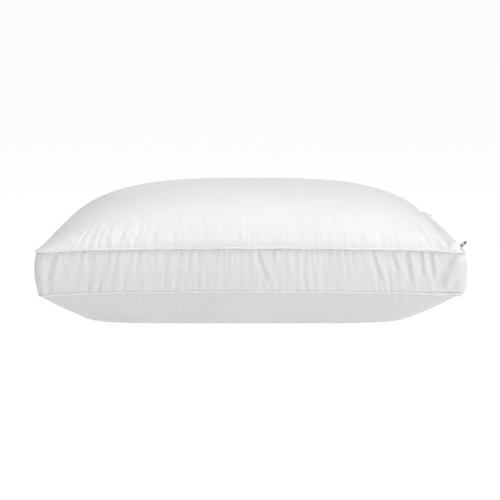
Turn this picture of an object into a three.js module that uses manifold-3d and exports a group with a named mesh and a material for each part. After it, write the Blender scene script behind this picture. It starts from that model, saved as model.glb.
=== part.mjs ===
// A zipped, gusseted bed pillow: crowned top and bottom panels, a side band between two piped
// seams, a coil zip along the right end, and a fibre-filled inner bag.
//
// Millimetres. The origin is the centre of the underside, on the surface the pillow lies on.
// +X runs along the long side to the zipped end, +Y from the front to the back, +Z up.

import * as THREE from 'three';
import { mergeVertices } from 'three/addons/utils/BufferGeometryUtils.js';
import Module from 'manifold-3d';

// ---- driving dimensions -----------------------------------------------------------------------
const HALF_LENGTH = 320; // centre to the end seam
const HALF_DEPTH = 235; // centre to the front or back seam
const CORNER_RADIUS = 14; // of the piped seams, seen from above
const SIDE_PULL = 12; // how far the long sides draw in midway between the corners
const END_PULL = 4; // the same at the left end; the zip keeps the right one straight
const UPPER_SEAM_Z = 119;
const LOWER_SEAM_Z = 53;
const SEAM_RISE = 2.5; // the seams lie this much higher midway along the long sides
const SEAM_DROP = 2.5; // and dip this much at the ends
const DROP_LENGTH = 50; // over this length of side next to the corner
const LOWER_INSET = 4; // the lower seam lies this far inside the upper one
const CROWN = 82; // top panel's centre above its seam
const BELLY = 83; // what the bottom panel would sag, if the surface didn't flatten it

const FABRIC = 1;
const GAP = 0.4; // clearance between neighbouring layers
const PIPING_RADIUS = 2.2;
const CORD_RADIUS = 1.45;
const COVER_BORE = 1.85; // radius of the piping cover round its cord
const SEAM_ALLOWANCE = 8;
const PANEL_INSET = PIPING_RADIUS + GAP; // a panel stops short of the piping's centre line
const PANEL_CLEAR = 2.8; // a panel's outer face is this far from the seam's middle at its edge

// ---- zip --------------------------------------------------------------------------------------
const ZIP_TILT = THREE.MathUtils.degToRad(50); // its outward side turns this far from straight up
const ZIP_X = HALF_LENGTH - 4.6;
const ZIP_Z = UPPER_SEAM_Z + 3;
const PANEL_RIGHT = 296; // where the top panel meets the fly
const BAND_LIFT = 4; // the fly lies this far above the seam
const TAPE_THICKNESS = 0.6;
const TAPE_HALF_LENGTH = 224;
const COIL_FRONT = -214;
const COIL_BACK = 205;
const SLIDER_Y = -209;
const SLIDER_LENGTH = 8.5;
const SLIDER_HALF_WIDTH = 3;
const PULL_PIVOT = 3.3; // height of the pull's pivot above the zip's plane

const material = (color, roughness, metalness = 0) =>
  new THREE.MeshStandardMaterial({ color, roughness, metalness, side: THREE.FrontSide });
const sateen = () => material(0xf1f1f1, 0.75);
const bandSateen = () => material(0xe6e6e6, 0.75);
const tapeCloth = () => material(0xf4f4f4, 0.85);
const nylon = () => material(0xf0f0ee, 0.4);
const nickel = () => material(0x5a5b5e, 0.35, 0.9);
const liningCloth = () => material(0xf6f5f1, 0.95);
const fibre = () => material(0xfbfaf6, 1);

// ---- the pillow's shape -----------------------------------------------------------------------

/** Draws a point of the flat rectangle in towards the middle of the nearest sides. */
function pulledIn(x, y) {
  const u = x / HALF_LENGTH;
  const v = y / HALF_DEPTH;
  return [x - END_PULL * Math.min(0, u) * (1 - v * v), y - SIDE_PULL * v * (1 - u * u)];
}

/** Height of a seam at x, for a seam whose corners lie at level. */
function seamHeight(x, level) {
  const u = x / HALF_LENGTH;
  const nearEnd = Math.max(0, 1 - (HALF_LENGTH - CORNER_RADIUS - Math.abs(x)) / DROP_LENGTH);
  return level + SEAM_RISE * (1 - u * u) - SEAM_DROP * Math.min(1, nearEnd) ** 2;
}

const hump = (t, power, fullness) => Math.max(0, 1 - Math.abs(t) ** power) ** fullness;

/** Outer surface of the top panel. */
function topHeight(x, y) {
  const right = x > 0;
  const u = x / (right ? PANEL_RIGHT : HALF_LENGTH - PANEL_INSET);
  const v = y / (HALF_DEPTH - PANEL_INSET);
  const alongLength = right ? hump(u, 4.3, 0.75) : hump(u, 3.36, 0.82);
  const lift = BAND_LIFT * Math.max(0, u) ** 4 * (1 - Math.abs(v) ** 12);
  return seamHeight(x, UPPER_SEAM_Z) + PANEL_CLEAR + lift + CROWN * alongLength * hump(v, 3.05, 0.6);
}

/** Outer surface of the bottom panel, flat where the pillow rests. */
function bottomHeight(x, y) {
  const u = x / (HALF_LENGTH - LOWER_INSET - PANEL_INSET);
  const v = y / (HALF_DEPTH - LOWER_INSET - PANEL_INSET);
  const sag = BELLY * hump(u, 3.7, 0.67) * hump(v, 4.3, 0.73);
  return Math.max(0, seamHeight(x, LOWER_SEAM_Z) - PANEL_CLEAR - sag);
}

// ---- mesh building ----------------------------------------------------------------------------

function geometryFrom(points, triangles) {
  const geometry = new THREE.BufferGeometry();
  geometry.setAttribute('position', new THREE.Float32BufferAttribute(points.flat(), 3));
  geometry.setIndex(triangles.flat());
  geometry.computeVertexNormals();
  return geometry;
}

/** Fractions from -1 to 1, closer together towards both ends. */
function gradedSteps(count) {
  const steps = [];
  for (let i = 0; i <= count; i++) {
    const t = (2 * i) / count - 1;
    steps.push(0.45 * t + 0.55 * Math.sin((t * Math.PI) / 2));
  }
  return steps;
}

/**
 * A closed solid between two surfaces over one grid. place(u, v) gives the plan point,
 * and upper and lower give the two heights there.
 */
function slab(columns, rows, place, upper, lower) {
  const us = gradedSteps(columns);
  const vs = gradedSteps(rows);
  const points = [];
  for (const surface of [upper, lower]) {
    for (const v of vs) {
      for (const u of us) {
        const [x, y] = place(u, v);
        points.push([x, y, surface(u, v)]);
      }
    }
  }
  const wide = columns + 1;
  const layer = wide * (rows + 1);
  const triangles = [];
  for (let j = 0; j < rows; j++) {
    for (let i = 0; i < columns; i++) {
      const a = j * wide + i;
      const [b, c, d] = [a + 1, a + wide + 1, a + wide];
      triangles.push([a, b, c], [a, c, d]);
      triangles.push([layer + a, layer + c, layer + b], [layer + a, layer + d, layer + c]);
    }
  }
  const rim = [];
  for (let i = 0; i < columns; i++) rim.push(i);
  for (let j = 0; j < rows; j++) rim.push(j * wide + columns);
  for (let i = columns; i > 0; i--) rim.push(rows * wide + i);
  for (let j = rows; j > 0; j--) rim.push(j * wide);
  rim.forEach((a, k) => {
    const b = rim[(k + 1) % rim.length];
    triangles.push([layer + a, layer + b, b], [layer + a, b, a]);
  });
  return geometryFrom(points, triangles);
}

/** Moves a point of the square corner region inside the rounded corner. */
function roundedPlan(x, y, halfX, halfY, radius, leftOnly) {
  const dx = Math.abs(x) - (halfX - radius);
  const dy = Math.abs(y) - (halfY - radius);
  if (dx <= 0 || dy <= 0 || (leftOnly && x > 0)) return [x, y];
  const keep = Math.max(dx, dy) / Math.hypot(dx, dy);
  return [
    Math.sign(x) * (halfX - radius + dx * keep),
    Math.sign(y) * (halfY - radius + dy * keep),
  ];
}

/** Stations round a rounded rectangle, from the middle of the back and round to it again. */
function roundTheSeam(inset) {
  const radius = CORNER_RADIUS - inset;
  const [halfX, halfY] = [HALF_LENGTH - inset, HALF_DEPTH - inset];
  const [cx, cy] = [halfX - radius, halfY - radius];
  const stations = [];
  const side = (from, to, count) => {
    for (let i = 0; i < count; i++) {
      const t = i / count;
      const x = from[0] + (to[0] - from[0]) * t;
      const y = from[1] + (to[1] - from[1]) * t;
      stations.push({ x, y, nx: from[2], ny: from[3] });
    }
  };
  const corner = (centreX, centreY, startAngle) => {
    const count = 3;
    for (let i = 0; i < count; i++) {
      const angle = startAngle + (i / count) * (Math.PI / 2);
      const [nx, ny] = [Math.cos(angle), Math.sin(angle)];
      stations.push({ x: centreX + radius * nx, y: centreY + radius * ny, nx, ny });
    }
  };
  const joinGap = 0.3; // each strip's two ends stop this far from the middle of the back
  side([-joinGap, halfY, 0, 1], [-cx, halfY], 5);
  corner(-cx, cy, Math.PI / 2);
  side([-halfX, cy, -1, 0], [-halfX, -cy], 7);
  corner(-cx, -cy, Math.PI);
  side([-cx, -halfY, 0, -1], [cx, -halfY], 9);
  corner(cx, -cy, 1.5 * Math.PI);
  side([halfX, -cy, 1, 0], [halfX, cy], 7);
  corner(cx, cy, 0);
  side([cx, halfY, 0, 1], [joinGap, halfY], 5);
  stations.push({ x: joinGap, y: halfY, nx: 0, ny: 1 });
  return stations;
}

/**
 * Sweeps a section round the seam line and closes both ends. sectionAt(x) gives the section at
 * that station as [outward offset, height] points, anticlockwise.
 */
function sweepRound(inset, sectionAt) {
  const points = [];
  const triangles = [];
  const stations = roundTheSeam(inset);
  let count = 0;
  for (const { x, y, nx, ny } of stations) {
    const section = sectionAt(x);
    count = section.length;
    for (const [out, height] of section) {
      const [px, py] = pulledIn(x + nx * out, y + ny * out);
      points.push([px, py, height]);
    }
  }
  for (let s = 0; s + 1 < stations.length; s++) {
    for (let k = 0; k < count; k++) {
      const a = s * count + k;
      const b = s * count + ((k + 1) % count);
      triangles.push([a, a + count, b + count], [a, b + count, b]);
    }
  }
  const outline = sectionAt(stations[0].x).map(([out, height]) => new THREE.Vector2(out, height));
  const last = (stations.length - 1) * count;
  for (const [a, b, c] of THREE.ShapeUtils.triangulateShape(outline, [])) {
    triangles.push([a, b, c], [last + a, last + c, last + b]);
  }
  return geometryFrom(points, triangles);
}

/** The closed outline of a strip of even thickness along a line of points. */
function ribbon(line, thickness) {
  const left = [];
  const right = [];
  line.forEach(([x, z], i) => {
    const [ax, az] = line[Math.max(0, i - 1)];
    const [bx, bz] = line[Math.min(line.length - 1, i + 1)];
    const length = Math.hypot(bx - ax, bz - az);
    const [nx, nz] = [-(bz - az) / length, (bx - ax) / length];
    left.push([x + (nx * thickness) / 2, z + (nz * thickness) / 2]);
    right.push([x - (nx * thickness) / 2, z - (nz * thickness) / 2]);
  });
  return [...right, ...left.reverse()];
}

/** Extrudes an [x, z] outline along Y. */
function extrudeAlongY(outline, from, to) {
  const shape = new THREE.Shape(outline.map(([x, z]) => new THREE.Vector2(x, z)));
  const geometry = new THREE.ExtrudeGeometry(shape, { depth: to - from, bevelEnabled: false });
  geometry.rotateX(Math.PI / 2);
  geometry.translate(0, to, 0);
  return geometry;
}

const piecesGroup = new THREE.Group();

function addPiece(name, geometry, look, parent = piecesGroup) {
  const mesh = new THREE.Mesh(geometry, look);
  mesh.name = name;
  parent.add(mesh);
}

// ---- cover ------------------------------------------------------------------------------------

function addTopPanel() {
  const left = HALF_LENGTH - PANEL_INSET;
  const deep = HALF_DEPTH - PANEL_INSET;
  const radius = CORNER_RADIUS - PANEL_INSET;
  const long = (u) => (u > 0 ? PANEL_RIGHT : left);
  const place = (u, v) => pulledIn(...roundedPlan(u * long(u), v * deep, left, deep, radius, true));
  const upper = (u, v) => topHeight(u * long(u), v * deep);
  addPiece('top_panel', slab(16, 12, place, upper, (u, v) => upper(u, v) - FABRIC), sateen());
}

function addBottomPanel() {
  const long = HALF_LENGTH - LOWER_INSET - PANEL_INSET;
  const deep = HALF_DEPTH - LOWER_INSET - PANEL_INSET;
  const radius = CORNER_RADIUS - LOWER_INSET - PANEL_INSET;
  const place = (u, v) => pulledIn(...roundedPlan(u * long, v * deep, long, deep, radius, false));
  const lower = (u, v) => bottomHeight(u * long, v * deep);
  addPiece('bottom_panel', slab(16, 12, place, (u, v) => lower(u, v) + FABRIC, lower), sateen());
}

function addGusset() {
  const turnIn = PIPING_RADIUS + 0.6;
  const bulge = 4.5;
  const sectionAt = (x) => {
    const upper = seamHeight(x, UPPER_SEAM_Z) - 1.55;
    const lower = seamHeight(x, LOWER_SEAM_Z) + 1.55;
    const web = [0.2, 0.5, 0.8].map((w) => [
      -turnIn - LOWER_INSET * w + bulge * 4 * w * (1 - w),
      upper + (lower - upper) * w,
    ]);
    const top = [[-SEAM_ALLOWANCE, upper], [-turnIn, upper]];
    const bottom = [
      [-turnIn - LOWER_INSET, lower],
      [-SEAM_ALLOWANCE - LOWER_INSET, lower],
    ];
    return ribbon([...top, ...web, ...bottom], FABRIC);
  };
  addPiece('gusset_band', sweepRound(0, sectionAt), bandSateen());
}

/** A round cord in a folded strip whose two tails run back into the seam. */
function addPiping(name, inset, level) {
  const arc = (radius, from, to, count) => {
    const points = [];
    for (let i = 0; i <= count; i++) {
      const angle = from + ((to - from) * i) / count;
      points.push([radius * Math.cos(angle), radius * Math.sin(angle)]);
    }
    return points;
  };
  const tail = 0.65;
  const slit = 0.2;
  const outerAngle = Math.PI - Math.asin(tail / PIPING_RADIUS);
  const innerAngle = Math.PI - Math.asin(slit / COVER_BORE);
  const cover = [
    [-SEAM_ALLOWANCE, -tail],
    ...arc(PIPING_RADIUS, -outerAngle, outerAngle, 6),
    [-SEAM_ALLOWANCE, tail],
    [-SEAM_ALLOWANCE, slit],
    ...arc(COVER_BORE, innerAngle, -innerAngle, 5),
    [-SEAM_ALLOWANCE, -slit],
  ];
  const cord = arc(CORD_RADIUS, 0, (5 / 3) * Math.PI, 5);
  const raised = (section) => (x) => section.map(([out, z]) => [out, z + seamHeight(x, level)]);
  addPiece(`${name}_cover`, sweepRound(inset, raised(cover)), sateen());
  addPiece(`${name}_cord`, sweepRound(inset, raised(cord)), tapeCloth());
}

// ---- zip --------------------------------------------------------------------------------------

/** World [x, z] of a point of the zip's own section: inward along the tape, outward from it. */
function zipPoint(inward, outward) {
  const [sin, cos] = [Math.sin(ZIP_TILT), Math.cos(ZIP_TILT)];
  return [ZIP_X - inward * cos + outward * sin, ZIP_Z + inward * sin + outward * cos];
}

function addZipCloth() {
  const tapeLevel = -TAPE_THICKNESS / 2;
  const flyTop = ZIP_Z + 4.6;
  const underFly = [[306, flyTop - 1.5], [300, flyTop - 3]];
  const inner = [zipPoint(0.6, tapeLevel), zipPoint(3.4, tapeLevel), ...underFly];
  const outer = [zipPoint(-0.6, tapeLevel), zipPoint(-3.7, tapeLevel), zipPoint(-4, -1.9)];
  const fly = [zipPoint(4, 0.9), [306, flyTop], [PANEL_RIGHT + 0.6, flyTop - 2.3]];
  const strip = (line, thickness, half) => extrudeAlongY(ribbon(line, thickness), -half, half);
  addPiece('zip_tape_inner', strip(inner, TAPE_THICKNESS, TAPE_HALF_LENGTH), tapeCloth());
  addPiece('zip_tape_outer', strip(outer, TAPE_THICKNESS, TAPE_HALF_LENGTH), tapeCloth());
  addPiece('zip_fly', strip(fly, 1.1, TAPE_HALF_LENGTH + 3), sateen());
}

/** The zip's hard pieces share one tilted group: local x runs down the tape and z out of it. */
const zipGroup = new THREE.Group();
zipGroup.position.set(ZIP_X, 0, ZIP_Z);
zipGroup.rotation.y = ZIP_TILT;
piecesGroup.add(zipGroup);

function addCoilsAndStops() {
  const coil = (side) => {
    const [near, far] = [0.6 * side, 2 * side];
    return [[near, 0.35], [far, 0.35], [far, 1.1], [1.3 * side, 1.5], [near, 1.1]];
  };
  addPiece('zip_coil_inner', extrudeAlongY(coil(-1), COIL_FRONT, COIL_BACK), nylon(), zipGroup);
  addPiece('zip_coil_outer', extrudeAlongY(coil(1), COIL_FRONT, COIL_BACK), nylon(), zipGroup);
  const stop = (length) => new THREE.BoxGeometry(3.6, length, 1.4);
  const place = (name, length, y) => {
    const geometry = stop(length);
    geometry.translate(0, y, 1.05);
    addPiece(name, geometry, nickel(), zipGroup);
  };
  place('zip_top_stop', 2, COIL_FRONT - 1.5);
  place('zip_bottom_stop', 3, COIL_BACK + 2);
}

function asSolid(wasm, geometry) {
  const bare = geometry.clone();
  bare.deleteAttribute('normal');
  bare.deleteAttribute('uv');
  const merged = mergeVertices(bare, 1e-4);
  const vertProperties = new Float32Array(merged.attributes.position.array);
  const triVerts = new Uint32Array(merged.index.array);
  return new wasm.Manifold(new wasm.Mesh({ numProp: 3, vertProperties, triVerts }));
}

function asGeometry(solid) {
  const mesh = solid.getMesh();
  const geometry = new THREE.BufferGeometry();
  geometry.setAttribute('position', new THREE.BufferAttribute(mesh.vertProperties, 3));
  geometry.setIndex(new THREE.BufferAttribute(mesh.triVerts, 1));
  geometry.computeVertexNormals();
  return geometry;
}

/** Two plates joined by a thin centre post, and an arched bridge for the pull on the top one. */
function addSlider(wasm) {
  const wide = SLIDER_HALF_WIDTH;
  const half = SLIDER_LENGTH / 2;
  const section = [
    [-wide, -1.6], [wide, -1.6], [wide, -1], [0.3, -1], [0.3, 1.9], [2.5, 1.9], [2.5, 0.5], [wide, 0.5],
    [wide, 2.2], [wide - 0.4, 2.5], [0.4 - wide, 2.5],
    [-wide, 2.2], [-wide, 0.5], [-2.5, 0.5], [-2.5, 1.9], [-0.3, 1.9], [-0.3, -1], [-wide, -1],
  ];
  const body = asSolid(wasm, extrudeAlongY(section, -half, half));
  const bridge = new THREE.Shape();
  bridge.moveTo(-3, 2.4);
  bridge.lineTo(-2.1, 2.4);
  bridge.lineTo(-2.1, 3.8);
  bridge.lineTo(-1.7, 4.1);
  bridge.lineTo(1.7, 4.1);
  bridge.lineTo(2.1, 3.8);
  bridge.lineTo(2.1, 2.4);
  bridge.lineTo(3, 2.4);
  bridge.lineTo(3, 4);
  bridge.quadraticCurveTo(2.6, 4.9, 1.4, 4.9);
  bridge.lineTo(-1.4, 4.9);
  bridge.quadraticCurveTo(-2.6, 4.9, -3, 4);
  const bridgeWidth = 1.6;
  const options = { depth: bridgeWidth, bevelEnabled: false, curveSegments: 3 };
  const bridgeGeometry = new THREE.ExtrudeGeometry(bridge, options);
  bridgeGeometry.translate(0, 0, -bridgeWidth / 2);
  bridgeGeometry.rotateX(Math.PI / 2);
  bridgeGeometry.rotateZ(Math.PI / 2);
  const slider = asGeometry(body.add(asSolid(wasm, bridgeGeometry)));
  slider.translate(0, SLIDER_Y, 0);
  addPiece('zip_slider', slider, nickel(), zipGroup);
}

/** A flat tab whose hole hangs on the slider's bridge, standing straight out of the zip. */
function addPull() {
  const [armOut, armIn, tabHalf] = [2, 1.15, 1.9];
  const [barRadius, holeEnd, tip] = [0.45, 3.6, 8.6];
  const rounding = 1.2; // of the tab's corners
  const shoulder = holeEnd + 0.9; // where the arms have merged into the tab
  const shape = new THREE.Shape();
  shape.moveTo(-armOut, -barRadius);
  shape.lineTo(armOut, -barRadius);
  shape.lineTo(armOut, holeEnd);
  shape.lineTo(tabHalf, shoulder);
  shape.lineTo(tabHalf, tip - rounding);
  shape.quadraticCurveTo(tabHalf, tip, tabHalf - rounding, tip);
  shape.lineTo(rounding - tabHalf, tip);
  shape.quadraticCurveTo(-tabHalf, tip, -tabHalf, tip - rounding);
  shape.lineTo(-tabHalf, shoulder);
  shape.lineTo(-armOut, holeEnd);
  const hole = new THREE.Path();
  hole.moveTo(-armIn, barRadius);
  hole.lineTo(-armIn, holeEnd);
  hole.lineTo(armIn, holeEnd);
  hole.lineTo(armIn, barRadius);
  shape.holes.push(hole);
  const thickness = 0.8;
  const settings = { depth: thickness, bevelEnabled: false, curveSegments: 3 };
  const geometry = new THREE.ExtrudeGeometry(shape, settings);
  geometry.translate(0, 0, -thickness / 2);
  geometry.rotateX(Math.PI / 2);
  geometry.translate(0, SLIDER_Y, PULL_PIVOT);
  addPiece('zip_pull', geometry, nickel(), zipGroup);
}

/** A blank folded label, caught in the seam past the far end of the zip. */
function addLabel() {
  const [thickness, width, height] = [1.2, 11, 7];
  const seamClearance = 0.4; // above the tape that it is sewn to
  const label = new THREE.BoxGeometry(thickness, width, height);
  label.translate(2.4, TAPE_HALF_LENGTH - 4, seamClearance + height / 2);
  addPiece('care_label', label, tapeCloth(), zipGroup);
}

// ---- inner bag and filling --------------------------------------------------------------------

function addFilling() {
  const long = 306;
  const deep = 221;
  const middle = 85; // height of the inner bag's own seam
  const wallUp = 29;
  const wallDown = 27;
  const rim = 3; // the bag's two halves are this thick where they are sewn together
  const slack = 16; // the filling stops this far short of the bag's seam
  const looseness = 5; // the bag is this much flatter than the cover round it
  const place = (u, v) => [u * long, v * deep];
  const wall = (u, v) => hump(u, 12, 0.4) * hump(v, 12, 0.4);
  const crowned = (u, v) => (CROWN - looseness) * hump(u, 3.2, 0.95) * hump(v, 3, 0.8);
  const sagging = (u, v) => (BELLY - looseness) * hump(u, 3, 0.95) * hump(v, 3.4, 0.95);
  const upper = (u, v) => middle + rim + wallUp * wall(u, v) + crowned(u, v);
  const lower = (u, v) => Math.max(FABRIC + GAP, middle - rim - wallDown * wall(u, v) - sagging(u, v));
  const atRim = (u, v) => Math.max(Math.abs(u), Math.abs(v)) > 0.999;
  const upperInside = (u, v) => (atRim(u, v) ? middle + GAP : upper(u, v) - FABRIC);
  const lowerInside = (u, v) => (atRim(u, v) ? middle - GAP : lower(u, v) + FABRIC);
  addPiece('liner_upper', slab(14, 10, place, upper, upperInside), liningCloth());
  addPiece('liner_lower', slab(14, 10, place, lowerInside, lower), liningCloth());
  const inside = (u, v) => [u * (long - slack), v * (deep - slack)];
  const fillTop = (u, v) => upper(u, v) - FABRIC - GAP;
  const fillBottom = (u, v) => lower(u, v) + FABRIC + GAP;
  addPiece('fill_core', slab(14, 10, inside, fillTop, fillBottom), fibre());
}

const wasm = await Module();
wasm.setup();

addTopPanel();
addBottomPanel();
addGusset();
addPiping('upper_piping', 0, UPPER_SEAM_Z);
addPiping('lower_piping', LOWER_INSET, LOWER_SEAM_Z);
addZipCloth();
addCoilsAndStops();
addSlider(wasm);
addPull();
addLabel();
addFilling();

export default piecesGroup;
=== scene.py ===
"""A zipped, gusseted bed pillow in white sateen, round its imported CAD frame.

Metres, in the CAD model's frame: +X towards the zipped end, +Y to the back, +Z up, the origin at
the centre of the underside. The cover's pieces are dense meshes over the same shape as the CAD
solids they replace. The zip's slider, pull and stops are bevelled copies of theirs, and the cords,
the inner bag and the fill are the CAD nodes with better materials.
"""

import math

import bmesh
import bpy
import numpy as np
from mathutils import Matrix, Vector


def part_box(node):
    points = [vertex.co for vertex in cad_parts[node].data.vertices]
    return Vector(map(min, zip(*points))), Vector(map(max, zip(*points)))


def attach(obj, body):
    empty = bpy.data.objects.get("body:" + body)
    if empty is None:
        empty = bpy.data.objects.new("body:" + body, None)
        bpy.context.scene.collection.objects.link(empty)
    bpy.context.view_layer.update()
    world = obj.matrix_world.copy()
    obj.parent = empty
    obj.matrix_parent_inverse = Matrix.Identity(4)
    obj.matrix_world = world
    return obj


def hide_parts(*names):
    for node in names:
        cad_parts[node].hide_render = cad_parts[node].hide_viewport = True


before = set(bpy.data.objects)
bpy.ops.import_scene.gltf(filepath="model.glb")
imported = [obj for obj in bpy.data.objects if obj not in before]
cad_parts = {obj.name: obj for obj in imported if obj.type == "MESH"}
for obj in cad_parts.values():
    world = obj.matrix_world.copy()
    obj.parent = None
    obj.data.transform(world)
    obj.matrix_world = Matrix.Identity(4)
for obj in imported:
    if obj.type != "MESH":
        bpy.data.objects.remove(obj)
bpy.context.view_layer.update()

MM = 0.001

# ---- the pillow's shape, as in the CAD model ---------------------------------------------------
PIPING_RADIUS = 2.2 * MM
HALF_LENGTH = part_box("upper_piping_cover")[1].x - PIPING_RADIUS
HALF_DEPTH = 235 * MM
CORNER_RADIUS = 14 * MM
SIDE_PULL = 12 * MM
END_PULL = 4 * MM
UPPER_SEAM_Z = 119 * MM
LOWER_SEAM_Z = 53 * MM
SEAM_RISE = 2.5 * MM
SEAM_DROP = 2.5 * MM
DROP_LENGTH = 50 * MM
RIGHT_DROP_SHARE = -0.2  # the lower seam rises a little at its right end, where the others dip
LOWER_INSET = 4 * MM
LOWER_END_PUSH = 2.6 * MM
CROWN = 81 * MM
BELLY = 83 * MM
# Power and fullness of each hump, along the pillow to the right and the left, and across it.
TOP_RIGHT_HUMP = (3.3, 0.66)
TOP_LEFT_HUMP = (3.36, 0.77)
TOP_ACROSS_HUMP = (3.05, 0.6)
BOTTOM_RIGHT_HUMP = (3.3, 0.67)
BOTTOM_LEFT_HUMP = (3.7, 0.61)
BOTTOM_ACROSS_HUMP = (4.3, 0.73)
FLY_INNER_X = 296 * MM
FLY_LIFT = 8 * MM  # the fly and the panel's edge ride up on the zip's ridge
GUSSET_BULGE = 4.5 * MM
TUCK = 0.8 * MM  # how far inside the piping's centre line each panel starts
SEAM_OFFSET = 0.7 * MM  # how far above or below that line

# ---- the zip ----------------------------------------------------------------------------------
slider_low, slider_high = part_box("zip_slider")
SLIDER_Y = (slider_low.y + slider_high.y) / 2
ZIP_TILT = math.radians(50)
ZIP_X = HALF_LENGTH - 4.6 * MM
ZIP_Z = UPPER_SEAM_Z + 3 * MM


# ---- numbers along a line ----------------------------------------------------------------------

NOISE_KNOTS = 4096
NOISE_START = 1000.37  # an offset between the knots, in spacings


def smooth_noise(at, spacing, seed):
    """Smooth random values, about -1 to 1, with a knot every spacing along at."""
    knots = np.random.default_rng(seed).uniform(-1, 1, NOISE_KNOTS)
    place = np.asarray(at) / spacing + NOISE_START + seed % 17
    cell = np.floor(place).astype(int)
    part = place - cell
    a, b, c, d = (knots[(cell + k) % NOISE_KNOTS] for k in (-1, 0, 1, 2))
    cubic = 3 * (b - c) + d - a
    square = 2 * a - 5 * b + 4 * c - d
    return b + 0.5 * part * (c - a + part * (square + part * cubic))


def bell(t, centre, width):
    """1 at the centre, falling smoothly to nothing within about two widths."""
    return np.exp(-(((t - centre) / width) ** 2))


def ease(t):
    """0 up to t = 0 and 1 from t = 1, with a smooth rise between."""
    t = np.clip(t, 0, 1)
    return t * t * (3 - 2 * t)


# ---- the shape as functions --------------------------------------------------------------------

def pulled_in(x, y):
    """Draws points of the flat rectangle in towards the middle of the nearest sides."""
    u = x / HALF_LENGTH
    v = y / HALF_DEPTH
    return x - END_PULL * np.minimum(0, u) * (1 - v * v), y - SIDE_PULL * v * (1 - u * u)


def seam_height(x, level):
    """Height of a seam, highest midway. It dips at its corners, but for the lower seam's right end."""
    u = x / HALF_LENGTH
    near_end = np.clip(1 - (HALF_LENGTH - CORNER_RADIUS - np.abs(x)) / DROP_LENGTH, 0, 1)
    drop = np.where((x > 0) & (level < UPPER_SEAM_Z), RIGHT_DROP_SHARE * SEAM_DROP, SEAM_DROP)
    return level + SEAM_RISE * (1 - u * u) - drop * near_end**2


def lower_push(x):
    """The lower seam's right end stands further out than the CAD solid's."""
    last_part = 0.25 * HALF_LENGTH
    return LOWER_END_PUSH * ease((x - HALF_LENGTH + last_part) / last_part)


def hump(t, power, fullness):
    """1 in the middle and 0 at t = -1 and 1. A high power is flat-topped, a low fullness steep-sided."""
    return np.maximum(0, 1 - np.abs(t) ** power) ** fullness


def rounded(x, y, half_x, half_y, radius, left_only=False):
    """Moves the points of the square corner regions inside the rounded corners."""
    dx = np.abs(x) - (half_x - radius)
    dy = np.abs(y) - (half_y - radius)
    inside = (dx > 0) & (dy > 0)
    if left_only:
        inside &= x < 0
    keep = np.where(inside, np.maximum(dx, dy) / np.maximum(np.hypot(dx, dy), 1e-9), 1)
    new_x = np.where(inside, np.sign(x) * (half_x - radius + dx * keep), x)
    new_y = np.where(inside, np.sign(y) * (half_y - radius + dy * keep), y)
    return new_x, new_y


# ---- gathers -----------------------------------------------------------------------------------

TOP_GATHERS = ((7.5, 0.45, 13), (12, 0.95, 27), (24, 0.8, 40))  # spacing, height and reach in mm
BAND_GATHERS = ((7, 0.5, 10), (11, 1.15, 27), (19, 1.3, 44))
UNEVENNESS = 0.55  # how far a fold strays from an even beat, in beats
CREASE_ROUNDING = 0.015
WEAKEST_FOLD = 0.15  # as a share of the height
SHORTEST_FOLD = 0.35  # as a share of the reach
GATHER_START = 2.5 * MM  # the folds grow to full height over this distance from the seam


def share(at, spacing, seed):
    """Smooth random values from 0 to 1."""
    return np.clip(0.5 + 0.5 * smooth_noise(at, spacing, seed), 0, 1)


def gathers(along, away, sizes, lean, seed):
    """Folds that leave a seam: rounded ridges between narrow creases, each row with its own reach."""
    total = np.zeros(np.broadcast(along, away).shape)
    for k, (spacing, height, reach) in enumerate(sizes):
        step = spacing * MM
        at = along - lean * away
        own_seed = seed + 3 * k
        beat = at / step + UNEVENNESS * smooth_noise(at, 2.3 * step, own_seed)
        ridge = 1.6 * np.sqrt(np.sin(math.pi * beat) ** 2 + CREASE_ROUNDING) - 1.05
        strength = WEAKEST_FOLD + (1 - WEAKEST_FOLD) * share(at, 2.9 * step, own_seed + 1) ** 1.4
        length = reach * MM * (SHORTEST_FOLD + 0.9 * share(at, 1.9 * step, own_seed + 2))
        fade = np.exp(-((np.maximum(away, 0) / length) ** 1.7))
        total += height * MM * strength * fade * ridge
    return total * ease(away / GATHER_START + 0.25)


def crease(x, w, start, end, depth, width):
    """A narrow furrow between two points of the side band, with a soft ridge beside it.

    A point is millimetres along the front and a share of the band's height down from its top.
    """
    span = end[1] - start[1]
    part = np.clip((w - start[1]) / span, 0, 1)
    centre = start[0] + (end[0] - start[0]) * part
    off = (x / MM - centre) / width
    taper = ease((w - start[1]) / span * 4 + 0.4) * ease((end[1] - w) / span * 3)
    return depth * MM * taper * (0.7 * np.exp(-((off - 1.6) ** 2)) - np.exp(-(off**2)))


# ---- meshes ------------------------------------------------------------------------------------

def new_piece(name, points, faces, material):
    """A smooth mesh that rides on the pillow."""
    mesh = bpy.data.meshes.new(name)
    mesh.from_pydata(np.reshape(points, (-1, 3)).tolist(), [], faces)
    mesh.polygons.foreach_set("use_smooth", [True] * len(mesh.polygons))
    mesh.update()
    piece = bpy.data.objects.new(name, mesh)
    bpy.context.scene.collection.objects.link(piece)
    piece.data.materials.append(material)
    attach(piece, "pillow")
    return piece


def grid_faces(rows, columns, wrap_columns=False, wrap_rows=False):
    """Quads of a grid of points stored row by row."""
    faces = []
    for j in range(rows if wrap_rows else rows - 1):
        for i in range(columns if wrap_columns else columns - 1):
            right = (i + 1) % columns
            this_row = j * columns
            next_row = (j + 1) % rows * columns
            faces.append((this_row + i, this_row + right, next_row + right, next_row + i))
    return faces


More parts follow.
